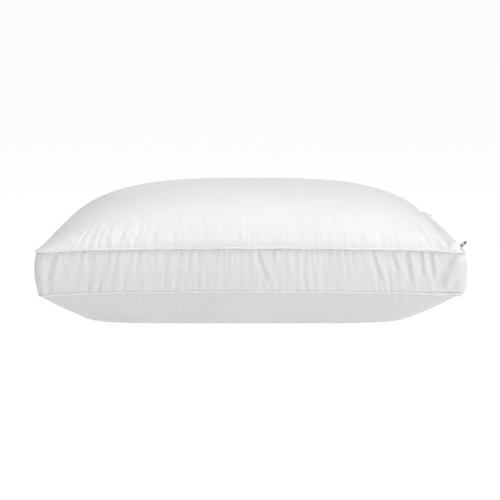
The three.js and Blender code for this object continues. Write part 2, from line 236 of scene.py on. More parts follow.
def normals_of(points, wrap_columns=False):
    """Unit normals of a grid of points, rows by columns by 3."""
    if wrap_columns:
        across = np.roll(points, -1, axis=1) - np.roll(points, 1, axis=1)
    else:
        across = np.gradient(points, axis=1)
    up = np.gradient(points, axis=0)
    normal = np.cross(across, up)
    return normal / np.maximum(np.linalg.norm(normal, axis=2, keepdims=True), 1e-12)


def even_steps(low, high, spacing):
    """Evenly spaced values from low to high, about spacing apart."""
    return np.linspace(low, high, int(round((high - low) / spacing)) + 1)


# ---- cloth simulation --------------------------------------------------------------------------

CLOTH_FRAMES = 25
SPARE_CLOTH = 0.03  # how much longer the cloth is than the seams it is gathered into
GRAIN = 0.12 * MM  # starting unevenness, which decides where the folds form
SWELLING_CELLS = 6  # what is smoother than this many cells counts as swelling


def blurred(values, width, wrap_columns):
    """A grid of values smoothed over about width cells, by repeated three-cell averages."""
    for _ in range(int(width * width / 2)):
        side = np.pad(values, ((0, 0), (1, 1)), mode="wrap" if wrap_columns else "edge")
        values = 0.25 * side[:, :-2] + 0.5 * values + 0.25 * side[:, 2:]
        ends = np.pad(values, ((1, 1), (0, 0)), mode="edge")
        values = 0.25 * ends[:-2] + 0.5 * values + 0.25 * ends[2:]
    return values


def settled_folds(points, wrap_columns, seed):
    """Sews a grid of cloth down at its edges, lets it puff up, and returns the folds it forms.

    The folds are heights along the surface's normal. The slow swelling of the whole panel is taken
    out again, because the fill holds the panel's form.
    """
    rows, columns = points.shape[:2]
    normal = normals_of(points, wrap_columns)
    grain = np.random.default_rng(seed).normal(0, GRAIN, (rows, columns, 1))
    start = points + normal * grain
    faces = grid_faces(rows, columns, wrap_columns=wrap_columns)
    mesh = bpy.data.meshes.new("settling")
    mesh.from_pydata(start.reshape(-1, 3).tolist(), [], faces)
    sheet = bpy.data.objects.new("settling", mesh)
    bpy.context.scene.collection.objects.link(sheet)
    sewn = np.zeros((rows, columns), bool)
    sewn[0] = sewn[-1] = True
    if not wrap_columns:
        sewn[:, 0] = sewn[:, -1] = True
    group = sheet.vertex_groups.new(name="sewn")
    group.add(np.flatnonzero(sewn.reshape(-1)).tolist(), 1.0, "REPLACE")
    cloth = sheet.modifiers.new("cloth", "CLOTH")
    settings = cloth.settings
    settings.quality = 4
    settings.mass = 0.15
    settings.tension_stiffness = 20
    settings.compression_stiffness = 20
    settings.shear_stiffness = 4
    settings.bending_stiffness = 0.2
    settings.air_damping = 3
    settings.shrink_min = -SPARE_CLOTH
    settings.use_pressure = True
    settings.uniform_pressure_force = 30
    settings.vertex_group_mass = "sewn"
    settings.effector_weights.gravity = 0
    cloth.collision_settings.use_collision = False
    cloth.point_cache.frame_start = 1
    cloth.point_cache.frame_end = CLOTH_FRAMES
    scene = bpy.context.scene
    for step in range(1, CLOTH_FRAMES + 1):
        scene.frame_set(step)
    result = sheet.evaluated_get(bpy.context.evaluated_depsgraph_get()).to_mesh()
    flat = np.empty(rows * columns * 3, dtype=np.float32)
    result.vertices.foreach_get("co", flat)
    moved = flat.reshape(rows, columns, 3).astype(float) - points
    scene.frame_set(1)
    bpy.data.objects.remove(sheet)
    height = (moved * normal).sum(axis=2)
    return height - blurred(height, SWELLING_CELLS, wrap_columns)


def resampled(values, rows, columns, wrap_columns=False):
    """A grid of values on another number of rows and columns, between the same edges."""
    if wrap_columns:
        values = np.hstack([values, values[:, :1]])
    across = np.linspace(0, values.shape[1] - 1, columns, endpoint=not wrap_columns)
    wide = np.array([np.interp(across, np.arange(values.shape[1]), row) for row in values])
    down = np.linspace(0, values.shape[0] - 1, rows)
    return np.array([np.interp(down, np.arange(values.shape[0]), column) for column in wide.T]).T


def simulated_folds(coarse, fine_shape, wrap_columns, seed, depth):
    height = settled_folds(coarse, wrap_columns, seed)
    height = depth * np.tanh(height / (2 * depth))
    fine_blur = 1.5
    return blurred(resampled(height, *fine_shape, wrap_columns), fine_blur, wrap_columns)


# ---- materials ---------------------------------------------------------------------------------

def grey(shade, warmth=0.0):
    """A grey, with a little less blue the warmer it is."""
    return shade, shade, shade - warmth


def node_material(name):
    material = bpy.data.materials.new(name)
    material.use_nodes = True
    tree = material.node_tree
    shader = tree.nodes["Principled BSDF"]
    return material, tree, shader


def add_node(tree, kind, **inputs):
    """A new node with some inputs set, by their names with _ for each space."""
    node = tree.nodes.new(kind)
    for key, value in inputs.items():
        node.inputs[key.replace("_", " ")].default_value = value
    return node


def scaled_place(tree, scale):
    """Object coordinates, scaled along each axis."""
    place = tree.nodes.new("ShaderNodeTexCoord")
    mapping = tree.nodes.new("ShaderNodeMapping")
    mapping.inputs["Scale"].default_value = scale
    tree.links.new(place.outputs["Object"], mapping.inputs["Vector"])
    return mapping.outputs["Vector"]


def colour_patches(tree, shader, dark, light, scale):
    """Colour that drifts slightly between two shades."""
    noise = add_node(tree, "ShaderNodeTexNoise", Scale=scale, Detail=3.0, Roughness=0.6)
    place = scaled_place(tree, (1, 1, 1))
    ramp = tree.nodes.new("ShaderNodeValToRGB")
    ramp.color_ramp.elements[0].position = 0.3
    ramp.color_ramp.elements[1].position = 0.7
    ramp.color_ramp.elements[0].color = (*dark, 1)
    ramp.color_ramp.elements[1].color = (*light, 1)
    tree.links.new(place, noise.inputs["Vector"])
    tree.links.new(noise.outputs["Fac"], ramp.inputs["Fac"])
    tree.links.new(ramp.outputs["Color"], shader.inputs["Base Color"])
    return noise


def add_bump(tree, shader, height, strength, distance):
    bump = tree.nodes.new("ShaderNodeBump")
    bump.inputs["Strength"].default_value = strength
    bump.inputs["Distance"].default_value = distance
    tree.links.new(height, bump.inputs["Height"])
    tree.links.new(bump.outputs["Normal"], shader.inputs["Normal"])


def cloth_material(name, dark, light, thread, sheen, roughness):
    """Woven cotton: two crossing sets of fine threads, a slubby drift of colour and a soft sheen."""
    material, tree, shader = node_material(name)
    colour_patches(tree, shader, dark, light, 9.0)
    shader.inputs["Sheen Weight"].default_value = sheen
    shader.inputs["Sheen Roughness"].default_value = 0.35
    shader.inputs["Specular IOR Level"].default_value = 0.25
    rough = add_node(tree, "ShaderNodeTexNoise", Scale=60.0, Detail=2.0)
    spread = add_node(tree, "ShaderNodeMapRange")
    spread.inputs["To Min"].default_value = roughness - 0.06
    spread.inputs["To Max"].default_value = roughness + 0.06
    tree.links.new(rough.outputs["Fac"], spread.inputs["Value"])
    tree.links.new(spread.outputs["Result"], shader.inputs["Roughness"])
    threads = []
    for stretch in ((1, 0.12, 1), (0.12, 1, 0.12)):
        noise = add_node(tree, "ShaderNodeTexNoise", Scale=1 / thread, Detail=1.0)
        tree.links.new(scaled_place(tree, stretch), noise.inputs["Vector"])
        threads.append(noise.outputs["Fac"])
    weave = tree.nodes.new("ShaderNodeMath")
    weave.operation = "ADD"
    tree.links.new(threads[0], weave.inputs[0])
    tree.links.new(threads[1], weave.inputs[1])
    add_bump(tree, shader, weave.outputs["Value"], 0.25, thread * 0.4)
    return material


def tape_material(name, light):
    """Herringbone tape: close ribs that turn from side to side."""
    material, tree, shader = node_material(name)
    colour_patches(tree, shader, tuple(0.93 * c for c in light), light, 120.0)
    wave = add_node(tree, "ShaderNodeTexWave", Scale=900.0, Distortion=1.5)
    wave.inputs["Detail Scale"].default_value = 2.0
    wave.bands_direction = "DIAGONAL"
    tree.links.new(scaled_place(tree, (1, 1, 1)), wave.inputs["Vector"])
    shader.inputs["Roughness"].default_value = 0.8
    shader.inputs["Sheen Weight"].default_value = 0.15
    add_bump(tree, shader, wave.outputs["Fac"], 0.5, 0.0002)
    return material


def nylon_material():
    material, tree, shader = node_material("nylon_coil")
    colour_patches(tree, shader, grey(0.74, 0.01), grey(0.82, 0.01), 300.0)
    fine = add_node(tree, "ShaderNodeTexNoise", Scale=2500.0, Detail=2.0)
    shader.inputs["Roughness"].default_value = 0.35
    shader.inputs["Subsurface Weight"].default_value = 0.1
    shader.inputs["Subsurface Scale"].default_value = 0.0005
    add_bump(tree, shader, fine.outputs["Fac"], 0.15, 0.00005)
    return material


def nickel_material():
    """Dark plated zinc, a little brighter where it rubs."""
    material, tree, shader = node_material("dark_nickel")
    noise = colour_patches(tree, shader, grey(0.10, -0.005), grey(0.24, -0.01), 700.0)
    shader.inputs["Metallic"].default_value = 1.0
    spread = add_node(tree, "ShaderNodeMapRange")
    spread.inputs["To Min"].default_value = 0.25
    spread.inputs["To Max"].default_value = 0.5
    tree.links.new(noise.outputs["Fac"], spread.inputs["Value"])
    tree.links.new(spread.outputs["Result"], shader.inputs["Roughness"])
    add_bump(tree, shader, noise.outputs["Fac"], 0.2, 0.00005)
    return material


def fibre_material():
    material, tree, shader = node_material("fibre")
    colour_patches(tree, shader, grey(0.78, 0.02), grey(0.86, 0.01), 40.0)
    strands = add_node(tree, "ShaderNodeTexNoise", Scale=400.0, Detail=6.0, Distortion=2.0)
    shader.inputs["Roughness"].default_value = 1.0
    add_bump(tree, shader, strands.outputs["Fac"], 0.8, 0.001)
    return material


def floor_material():
    """White paper that glows, so that it stays white to the horizon with only a faint shadow."""
    material, tree, shader = node_material("white_floor")
    shader.inputs["Base Color"].default_value = (0.12, 0.12, 0.12, 1)
    shader.inputs["Roughness"].default_value = 0.9
    shader.inputs["Specular IOR Level"].default_value = 0.0
    shader.inputs["Emission Color"].default_value = (1, 1, 1, 1)
    shader.inputs["Emission Strength"].default_value = 0.93
    return material


SATEEN = cloth_material("white_sateen", grey(0.67), grey(0.70), 0.5 * MM, sheen=0.25, roughness=0.62)
# The side band's sateen is a touch darker than the top's: painted shade for the upright band, which gets
# less light.
SHADED_BAND_SATEEN = cloth_material("band_sateen", grey(0.66), grey(0.69), 0.5 * MM, sheen=0.25, roughness=0.62)
# The glowing floor lights the underside more than a table would, so its cloth is a little darker: painted
# shade on a darker copy of the sateen.
SHADED_LOWER_SATEEN = cloth_material("lower_sateen_painted_shade", grey(0.60), grey(0.63), 0.5 * MM, sheen=0.25, roughness=0.62)
# The fly's sateen is lighter than the panel's: a painted highlight for the sheen the fly catches.
LIT_FLY_SATEEN = cloth_material("fly_sateen_painted_highlight", grey(0.69), grey(0.73), 0.5 * MM, sheen=0.25, roughness=0.62)
PIPING_SATEEN = cloth_material("piping_sateen", grey(0.67), grey(0.71), 0.4 * MM, sheen=0.3, roughness=0.55)
THREAD = cloth_material("sewing_thread", grey(0.72), grey(0.8), 0.2 * MM, sheen=0.1, roughness=0.5)
TAPE = tape_material("zip_tape_weave", grey(0.78))
SATIN = tape_material("label_satin_ribs", grey(0.8))
LINING = cloth_material(
    "non_woven_lining", grey(0.72, 0.02), grey(0.78, 0.02), 1 * MM, sheen=0.1, roughness=0.9
)
CORD = cloth_material("filler_cord", grey(0.68, 0.02), grey(0.76, 0.02), 0.8 * MM, sheen=0.1, roughness=0.9)
NYLON = nylon_material()
NICKEL = nickel_material()
FIBRE = fibre_material()


# ---- top cover ---------------------------------------------------------------------------------

VALLEY_DEPTH = 12 * MM
VALLEY_WIDTH = 12 * MM
VALLEY_X = 266 * MM  # where it lies at VALLEY_Y from the middle
VALLEY_Y = 190 * MM
VALLEY_SLANT = 0.35  # how much it turns towards the corner


def fly_valley(x, y):
    """The panel sinks beside the fly near the zip's two corners."""
    away = np.abs(y)
    near_corner = ease((away - 140 * MM) / (75 * MM)) * ease((HALF_DEPTH - away) / (7 * MM))
    centre = VALLEY_X + VALLEY_SLANT * (away - VALLEY_Y)
    return VALLEY_DEPTH * near_corner * bell(x, centre, VALLEY_WIDTH)


def top_height(x, y):
    """Height of the smooth top panel, which ends at the fly on the right."""
    right = x > 0
    u = np.where(right, x / FLY_INNER_X, x / (HALF_LENGTH - TUCK))
    v = y / (HALF_DEPTH - TUCK)
    along = np.where(right, hump(u, *TOP_RIGHT_HUMP), hump(u, *TOP_LEFT_HUMP))
    lift = FLY_LIFT * np.maximum(0, u) ** 4 * (1 - np.abs(v) ** 16)
    edge = seam_height(x, UPPER_SEAM_Z) + SEAM_OFFSET + lift - fly_valley(x, y)
    return edge + CROWN * along * hump(v, *TOP_ACROSS_HUMP)


TOP_HALF_LENGTH = HALF_LENGTH - TUCK
TOP_HALF_DEPTH = HALF_DEPTH - TUCK
TOP_STEP = 1.75 * MM
TOP_CLOTH_STEP = 3.6 * MM
TOP_CLOTH_DEPTH = 1.4 * MM
CLIMB = 1.5  # the panel climbs away from its seams, so folds reach further than in plan
FAN = 0.5  # how far the gathers lean at the ends of a seam
FULLER_SPOTS = (  # extra strength, place along the front and width
    (1.3, -200 * MM, 60 * MM),
    (1.7, 230 * MM, 45 * MM),
)
LONG_PLEATS = ((10, 0.9, 46),)


def top_surface(step):
    """The smooth panel as a grid of points, with each point's x and y before the sides pull in."""
    xs = even_steps(-TOP_HALF_LENGTH, FLY_INNER_X, step)
    ys = even_steps(-TOP_HALF_DEPTH, TOP_HALF_DEPTH, step)
    x, y = np.meshgrid(xs, ys)
    z = top_height(x, y)
    radius = CORNER_RADIUS - TUCK
    flat_x, flat_y = rounded(x, y, TOP_HALF_LENGTH, TOP_HALF_DEPTH, radius, left_only=True)
    plan_x, plan_y = pulled_in(flat_x, flat_y)
    return np.stack([plan_x, plan_y, z], axis=2), x, y


def top_points():
    points, x, y = top_surface(TOP_STEP)
    normal = normals_of(points)
    front = y + TOP_HALF_DEPTH
    back = TOP_HALF_DEPTH - y
    left = x + TOP_HALF_LENGTH
    right = FLY_INNER_X - x
    lean_x = -FAN * x / HALF_LENGTH
    lean_y = -FAN * y / HALF_DEPTH
    fuller = 0.75 + sum(more * bell(x, place, width) for more, place, width in FULLER_SPOTS)
    folds = fuller * gathers(x, front * CLIMB / (0.6 + 0.4 * fuller), TOP_GATHERS, lean_x, seed=11)
    pleated = 1.3 * bell(x, -195 * MM, 62 * MM)
    folds += pleated * gathers(x, front * CLIMB, LONG_PLEATS, FAN, seed=13)
    folds += gathers(x, back * CLIMB, TOP_GATHERS, lean_x, seed=23)
    folds += 0.7 * gathers(y, left * CLIMB, TOP_GATHERS, lean_y, seed=37)
    folds += 0.5 * gathers(y, right * CLIMB, TOP_GATHERS, lean_y, seed=41)
    edge = np.minimum(np.minimum(front, back), np.minimum(left, right))
    coarse = top_surface(TOP_CLOTH_STEP)[0]
    settled = simulated_folds(coarse, x.shape, False, seed=5, depth=TOP_CLOTH_DEPTH)
    folds += settled * bell(edge, 0, 60 * MM)
    folds *= ease(edge / (3 * MM))
    return points + normal * folds[:, :, None], x.shape


def make_top():
    points, (rows, columns) = top_points()
    piece = new_piece("top_cover", points, grid_faces(rows, columns), SATEEN)
    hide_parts("top_panel")


# ---- bottom cover ------------------------------------------------------------------------------

CONTACT_ROUNDING = 7 * MM  # how softly the sagging panel turns flat where it rests
LOWER_CLIMB = 1.4
LOWER_LEAN = 0.1


def bottom_height(x, y, long, deep):
    """Height of the smooth bottom panel: its free sag, flattened at the surface it lies on."""
    along = np.where(x > 0, hump(x / long, *BOTTOM_RIGHT_HUMP), hump(x / long, *BOTTOM_LEFT_HUMP))
    sag = BELLY * along * hump(y / deep, *BOTTOM_ACROSS_HUMP)
    free = seam_height(x, LOWER_SEAM_Z) - SEAM_OFFSET - sag
    above = 0.5 * (free + np.sqrt(free * free + CONTACT_ROUNDING * CONTACT_ROUNDING))
    return above - 0.5 * CONTACT_ROUNDING * np.exp(-((free / CONTACT_ROUNDING) ** 2))


def make_bottom():
    long = HALF_LENGTH - LOWER_INSET - TUCK
    deep = HALF_DEPTH - LOWER_INSET - TUCK
    xs = even_steps(-long, long, 2.2 * MM)
    ys = even_steps(-deep, deep, 2.4 * MM)
    x, y = np.meshgrid(xs, ys)
    z = np.maximum(0.0, bottom_height(x, y, long, deep))
    flat_x, flat_y = rounded(x, y, long, deep, CORNER_RADIUS - LOWER_INSET - TUCK)
    plan_x, plan_y = pulled_in(flat_x, flat_y)
    points = np.stack([plan_x + lower_push(x), plan_y, z], axis=2)
    normal = -normals_of(points)
    seams = ((x, y + deep, 61), (x, deep - y, 67), (y, x + long, 71), (y, long - x, 79))
    folds = np.zeros(x.shape)
    for along, away, seed in seams:
        folds += gathers(along, away * LOWER_CLIMB, TOP_GATHERS, LOWER_LEAN, seed)
    edge = np.minimum(np.minimum(y + deep, deep - y), np.minimum(x + long, long - x))
    folds *= 0.5 * ease(edge / (3 * MM)) * ease(z / (12 * MM))
    points = points + normal * folds[:, :, None]
    points[:, :, 2] = np.maximum(points[:, :, 2], 0.0)
    faces = [face[::-1] for face in grid_faces(*x.shape)]
    piece = new_piece("bottom_cover", points, faces, SHADED_LOWER_SATEEN)
    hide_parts("bottom_panel")


# ---- stations round the seams ------------------------------------------------------------------

def seam_stations(inset, spacing):
    """Points and outward normals round a seam, anticlockwise from the middle of the back."""
    radius = CORNER_RADIUS - inset
    half_x, half_y = HALF_LENGTH - inset, HALF_DEPTH - inset
    cx, cy = half_x - radius, half_y - radius
    runs = (
        ("side", (0, half_y), (-cx, half_y), (0, 1)),
        ("corner", (-cx, cy), math.pi / 2, None),
        ("side", (-half_x, cy), (-half_x, -cy), (-1, 0)),
        ("corner", (-cx, -cy), math.pi, None),
        ("side", (-cx, -half_y), (cx, -half_y), (0, -1)),
        ("corner", (cx, -cy), 1.5 * math.pi, None),
        ("side", (half_x, -cy), (half_x, cy), (1, 0)),
        ("corner", (cx, cy), 0.0, None),
        ("side", (cx, half_y), (0, half_y), (0, 1)),
    )
    stations = []
    for kind, a, b, normal in runs:
        length = radius * math.pi / 2 if kind == "corner" else math.dist(a, b)
        count = max(6, round(length / spacing))
        for i in range(count):
            t = i / count
            if kind == "corner":
                angle = b + t * math.pi / 2
                nx, ny = math.cos(angle), math.sin(angle)
                stations.append((a[0] + radius * nx, a[1] + radius * ny, nx, ny))
            else:
                stations.append((a[0] + (b[0] - a[0]) * t, a[1] + (b[1] - a[1]) * t, *normal))
    return np.array(stations)


def along_of(stations):
    """Distance of each station round the seam."""
    steps = np.hypot(*np.diff(stations[:, :2], axis=0, append=stations[:1, :2]).T)
    return np.concatenate([[0], np.cumsum(steps)[:-1]])


# ---- side band ---------------------------------------------------------------------------------

BAND_TUCK = (1.9 * MM, 0.3 * MM)  # from the seam's line to the band's upper and lower edge
END_BULGE = 5.5 * MM  # how much straighter the right end stands than the sides
LEFT_SHARE = 0.35  # the left end's share of that
BAND_LEAN = 0.28
BAND_STEP = 1.4 * MM
BAND_ROWS = 35
BAND_CLOTH_STEP = 2.8 * MM
BAND_CLOTH_ROWS = 24
BAND_CLOTH_DEPTH = 1.2 * MM
FRONT_CREASES = (  # start and end (mm along, share of the height down), depth and width in mm
    ((8, 0.0), (30, 0.95), 1.3, 4.0),
    ((78, 0.1), (80, 0.95), 0.9, 3.6),
    ((180, 0.0), (198, 0.9), 1.8, 4.0),
    ((206, -0.1), (222, 0.6), 1.6, 4.2),
    ((230, -0.1), (240, 0.85), 2.4, 4.6),
    ((252, -0.1), (256, 0.65), 2.3, 3.8),
    ((268, -0.1), (272, 0.7), 2.4, 4.0),
    ((300, 0.1), (276, 1.0), 4.0, 7.5),
    ((-290, 0.05), (-307, 0.85), 2.0, 5.5),
    ((-238, 0.1), (-246, 0.9), 0.8, 4.2),
)


def band_surface(spacing, row_count, puckered):
    """The side band as a grid of points: rows from the upper seam to the lower one."""
    stations = seam_stations(0, spacing)
    along = along_of(stations)[None, :]
    x, y, nx, ny = (column[None, :] for column in stations.T)
    w = np.linspace(0, 1, row_count)[:, None]
    upper = seam_height(x, UPPER_SEAM_Z) - 1.5 * SEAM_OFFSET
    lower = seam_height(x, LOWER_SEAM_Z) + 0.5 * SEAM_OFFSET
    bulge = 4 * w * (1 - w)
    out = -BAND_TUCK[0] + (BAND_TUCK[0] - BAND_TUCK[1] - LOWER_INSET) * w + GUSSET_BULGE * bulge
    plateau = (1 - (2 * w - 1) ** 6) ** 0.8 - 0.8 * bulge  # upright but for its two edges
    end_share = np.where(nx > 0, 1, LEFT_SHARE) * nx**2
    out = out + END_BULGE * end_share * plateau + lower_push(x) * np.maximum(nx, 0) * w
    if puckered:
        height = upper - lower
        at_back = ny > 0.01
        lean = BAND_LEAN * np.clip(x / HALF_LENGTH, -1, 1) * np.where(at_back, -1, 1)
        folds = gathers(along, w * height, BAND_GATHERS, lean, seed=83)
        folds += gathers(along, (1 - w) * height, BAND_GATHERS, -lean, seed=97)
        for furrow in FRONT_CREASES:
            folds += np.where(ny < -0.5, crease(x, w, *furrow), 0)
        out = out + folds * ease(w * 18) * ease((1 - w) * 18)
    plan_x, plan_y = pulled_in(x + nx * out, y + ny * out)
    return np.stack([plan_x, plan_y, upper + (lower - upper) * w], axis=2)


def make_gusset():
    points = band_surface(BAND_STEP, BAND_ROWS, puckered=True)
    rows, columns = points.shape[:2]
    coarse = band_surface(BAND_CLOTH_STEP, BAND_CLOTH_ROWS, puckered=False)
    settled = simulated_folds(coarse, (rows, columns), True, seed=9, depth=BAND_CLOTH_DEPTH)
    w = np.linspace(0, 1, rows)[:, None]
    settled = settled * ease(w * 12) * ease((1 - w) * 12)
    points = points + normals_of(points, True) * settled[:, :, None]
    faces = [face[::-1] for face in grid_faces(rows, columns, wrap_columns=True)]
    piece = new_piece("gusset_cover", points, faces, SHADED_BAND_SATEEN)
    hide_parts("gusset_band")


# ---- piping ------------------------------------------------------------------------------------

CORD_LOOK_RADIUS = 1.6 * MM  # the part of the piping's cover that shows between the cloths
PIPING_SIDES = 14
TWILL_PITCH = 4.5 * MM  # of the slanting wrinkles in the bias strip
TWILL_TWIST = 1.5


def make_piping(name, node, inset, level, seed):
    """A cord in its bias-cut cover, with slanting wrinkles and a slightly wavering line."""
    stations = seam_stations(inset, 2.2 * MM)
    along = along_of(stations)[:, None]
    x, y, nx, ny = (column[:, None] for column in stations.T)
    turn = np.linspace(0, 2 * math.pi, PIPING_SIDES, endpoint=False)[None, :]
    twill = np.sin(2 * math.pi * along / TWILL_PITCH + TWILL_TWIST * turn) * share(along, 9 * MM, seed + 3)
    radius = CORD_LOOK_RADIUS * (1 + 0.07 * smooth_noise(along, 4 * MM, seed) + 0.06 * twill)
    out = radius * np.cos(turn) + 0.35 * MM * smooth_noise(along, 14 * MM, seed + 1)
    if level == LOWER_SEAM_Z:
        out = out + lower_push(x)
    rise = radius * np.sin(turn) + 0.3 * MM * smooth_noise(along, 18 * MM, seed + 2)
    plan_x, plan_y = pulled_in(x + nx * out, y + ny * out)
    points = np.stack([plan_x, plan_y, seam_height(x, level) + rise], axis=2)
    faces = grid_faces(points.shape[0], points.shape[1], wrap_columns=True, wrap_rows=True)
    piece = new_piece(name, points, faces, PIPING_SATEEN)
    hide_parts(node)


# ---- zip fly and tapes -------------------------------------------------------------------------

def zip_point(inward, outward):
    """World x and z of a point of the zip's section: inward across it and outward from its plane."""
    sin, cos = math.sin(ZIP_TILT), math.cos(ZIP_TILT)
    return ZIP_X - inward * cos + outward * sin, ZIP_Z + inward * sin + outward * cos


FLY_THICKNESS = 1.1 * MM
FLY_HALF_LENGTH = HALF_DEPTH - 2.2 * MM
FOLD_X, FOLD_Z = zip_point(4.8 * MM, 1.2 * MM)
ZIP_HALF_LENGTH = 215 * MM  # beyond it the fly and the tapes dive into the corner's seam
PUFF = 1.6 * MM  # how far the fly swells along its middle, and how much more near its ends
END_PUFF = 2.0 * MM
TAPE_STEP = 2.5 * MM
TAPE_HALF_THICKNESS = 0.3 * MM
FLY_STEP = 2.2 * MM
FLY_COLUMNS = 12


def end_dive(y):
    """0 along the zip, rising to 1 where the fly and the tapes are sewn into the corner."""
    return ease((np.abs(y) - ZIP_HALF_LENGTH + 1 * MM) / (HALF_DEPTH - ZIP_HALF_LENGTH - 2 * MM))


def corner_x(y):
    """x of the right end's upper seam, which turns inwards round its corners."""
    past = np.clip(np.abs(y) - (HALF_DEPTH - CORNER_RADIUS), 0, CORNER_RADIUS)
    return HALF_LENGTH - CORNER_RADIUS + np.sqrt(CORNER_RADIUS**2 - past**2)


def fly_centre(t, y):
    """Middle of the fly's thickness: t is 0 at its seam and 1 at its folded edge."""
    inner_z = top_height(np.full_like(y, FLY_INNER_X), y) - 0.5 * MM
    dive = end_dive(y)
    fold_x = np.minimum(FOLD_X, corner_x(y) - 2.5 * MM)
    fold_z = FOLD_Z + (seam_height(fold_x, UPPER_SEAM_Z) + 1.6 * MM - FOLD_Z) * dive
    puff = PUFF + END_PUFF * bell(np.abs(y), 205 * MM, 26 * MM)
    crown = puff * np.sin(math.pi * t**1.3) * (1 - 0.5 * dive)
    ripple = (0.5 * smooth_noise(y, 9 * MM, 131) + 0.6 * smooth_noise(y, 30 * MM, 137)) * t * MM
    seam_x = FLY_INNER_X - 0.8 * MM
    x = seam_x + (fold_x - seam_x) * t
    z = inner_z + (fold_z - inner_z) * t + crown + np.minimum(ripple, 0.5 * MM) * (1 - dive)
    return x, z


def strip_piece(name, rows, material):
    """A closed strip from the lines round its section, with its two ends capped."""
    points = np.array(rows)
    count = points.shape[1]
    faces = grid_faces(points.shape[0], count, wrap_rows=True)
    faces.append(tuple(j * count for j in range(len(rows))))
    faces.append(tuple((len(rows) - 1 - j) * count + count - 1 for j in range(len(rows))))
    return new_piece(name, points, faces, material)


def make_tape(name, node, section, sink):
    """A zip tape: its middle line across is section(y), and sink is how deep its inner edge dives."""
    ys = even_steps(-HALF_DEPTH + 3 * MM, HALF_DEPTH - 3 * MM, TAPE_STEP)
    line = section(ys, end_dive(ys) * sink)
    rows = [np.stack([x, ys, z + TAPE_HALF_THICKNESS], axis=1) for x, z in line]
    rows += [np.stack([x, ys, z - TAPE_HALF_THICKNESS], axis=1) for x, z in line[::-1]]
    piece = strip_piece(name, rows, TAPE)
    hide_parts(node)


def inner_tape_line(y, sink):
    """From the coil inwards, under the fly and down to the panel's edge."""
    corners = [zip_point(0.6 * MM, -0.3 * MM), zip_point(3.4 * MM, -0.3 * MM)]
    corners += [(306 * MM, ZIP_Z + 3.1 * MM), (299 * MM, ZIP_Z + 1.4 * MM)]
    inwards = corner_x(y) - HALF_LENGTH
    return [(x + inwards, z - sink) for x, z in corners]


def outer_tape_line(y, sink):
    """From the coil outwards and down to the piping."""
    edge_x = corner_x(y) - 1.1 * MM
    edge_z = seam_height(corner_x(y), UPPER_SEAM_Z) + 0.8 * MM
    line = []
    for inward in (-0.6, -2.2, -3.7):
        x, z = zip_point(inward * MM, -0.3 * MM)
        line.append((x + corner_x(y) - HALF_LENGTH, np.maximum(z - sink, edge_z - 0.5 * MM)))
    return line + [(edge_x, edge_z)]


def make_fly():
    """The folded strip that laps over the zip, as the outline of its section carried along y."""
    ys = even_steps(-FLY_HALF_LENGTH, FLY_HALF_LENGTH, FLY_STEP)
    across = np.linspace(0, 1, FLY_COLUMNS)
    half = FLY_THICKNESS / 2
    outline = [(t, half) for t in across]
    outline += [(1 + 0.03 * math.cos(a), half * math.sin(a)) for a in np.linspace(1.2, -1.2, 5)]
    outline += [(t, -half) for t in across[::-1]]
    rows = []
    for t, rise in outline:
        x, z = fly_centre(np.full_like(ys, t), ys)
        rows.append(np.stack([x, ys, z + rise], axis=1))
    piece = strip_piece("fly_cloth", rows, LIT_FLY_SATEEN)
    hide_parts("zip_fly")


# ---- stitches ----------------------------------------------------------------------------------

STITCH_PITCH = 3.0 * MM
STITCH_LENGTH = 2.3 * MM
STITCH_SIDES = 6
STITCH_PROFILE = (  # share of the length, thickness, and depth in the cloth, in radii
    (0, 0.35, 0.9),
    (0.2, 1, 0.2),
    (0.5, 1.1, 0),
    (0.8, 1, 0.2),
    (1, 0.35, 0.9),
)


def tube_faces(base, rings, sides):
    """Faces of a closed tube whose points are stored ring by ring from base."""
    faces = []
    for r in range(rings - 1):
        for k in range(sides):
            a = base + r * sides + k
            b = base + r * sides + (k + 1) % sides
            faces.append((a, b, b + sides, a + sides))
    faces.append(tuple(base + k for k in reversed(range(sides))))
    faces.append(tuple(base + (rings - 1) * sides + k for k in range(sides)))
    return faces


def stitch_points(start, end, radius):
    """One bar of thread between two points, with its ends sunk into the cloth."""
    forward = (end - start) / np.linalg.norm(end - start)
    side = np.cross(forward, (0, 0, 1))
    side /= np.linalg.norm(side)
    up = np.cross(side, forward)
    points = []
    for part, thickness, depth in STITCH_PROFILE:
        centre = start + (end - start) * part - up * radius * depth
        for k in range(STITCH_SIDES):
            angle = 2 * math.pi * k / STITCH_SIDES
            ring = side * math.cos(angle) + up * math.sin(angle)
            points.append((centre + ring * radius * thickness).tolist())
    return points


def stitches(name, path, radius):
    """A row of short thread bars along a line of points."""
    steps = np.linalg.norm(np.diff(path, axis=0), axis=1)
    run = np.concatenate([[0], np.cumsum(steps)])
    points = []
    faces = []
    for along in np.arange(STITCH_PITCH / 2, run[-1] - STITCH_LENGTH, STITCH_PITCH):
        start = np.array([np.interp(along, run, path[:, k]) for k in range(3)])
        end = np.array([np.interp(along + STITCH_LENGTH, run, path[:, k]) for k in range(3)])
        faces += tube_faces(len(points), len(STITCH_PROFILE), STITCH_SIDES)
        points += stitch_points(start, end, radius)
    new_piece(name, points, faces, THREAD)


def make_fly_stitches():
    """One row along the fly's seam, and one near its fold that curves out to it at both ends."""
    ys = even_steps(-FLY_HALF_LENGTH + 4 * MM, FLY_HALF_LENGTH - 4 * MM, 2 * MM)
    lift = FLY_THICKNESS / 2 + 0.1 * MM
    x, z = fly_centre(np.full_like(ys, 0.12), ys)
    stitches("fly_edge_stitches", np.stack([x, ys, z + lift], axis=1), 0.22 * MM)
    turn = 24 * MM
    front = SLIDER_Y + 10 * MM
    back = ZIP_HALF_LENGTH - 4 * MM
    ys = ys[(ys > front) & (ys < back)]
    t = 0.5 + 0.46 * (np.exp(-(ys - front) / turn) + np.exp(-(back - ys) / turn))
    x, z = fly_centre(t, ys)
    stitches("fly_topstitches", np.stack([x, ys, z + lift], axis=1), 0.25 * MM)


# ---- zip coil ----------------------------------------------------------------------------------

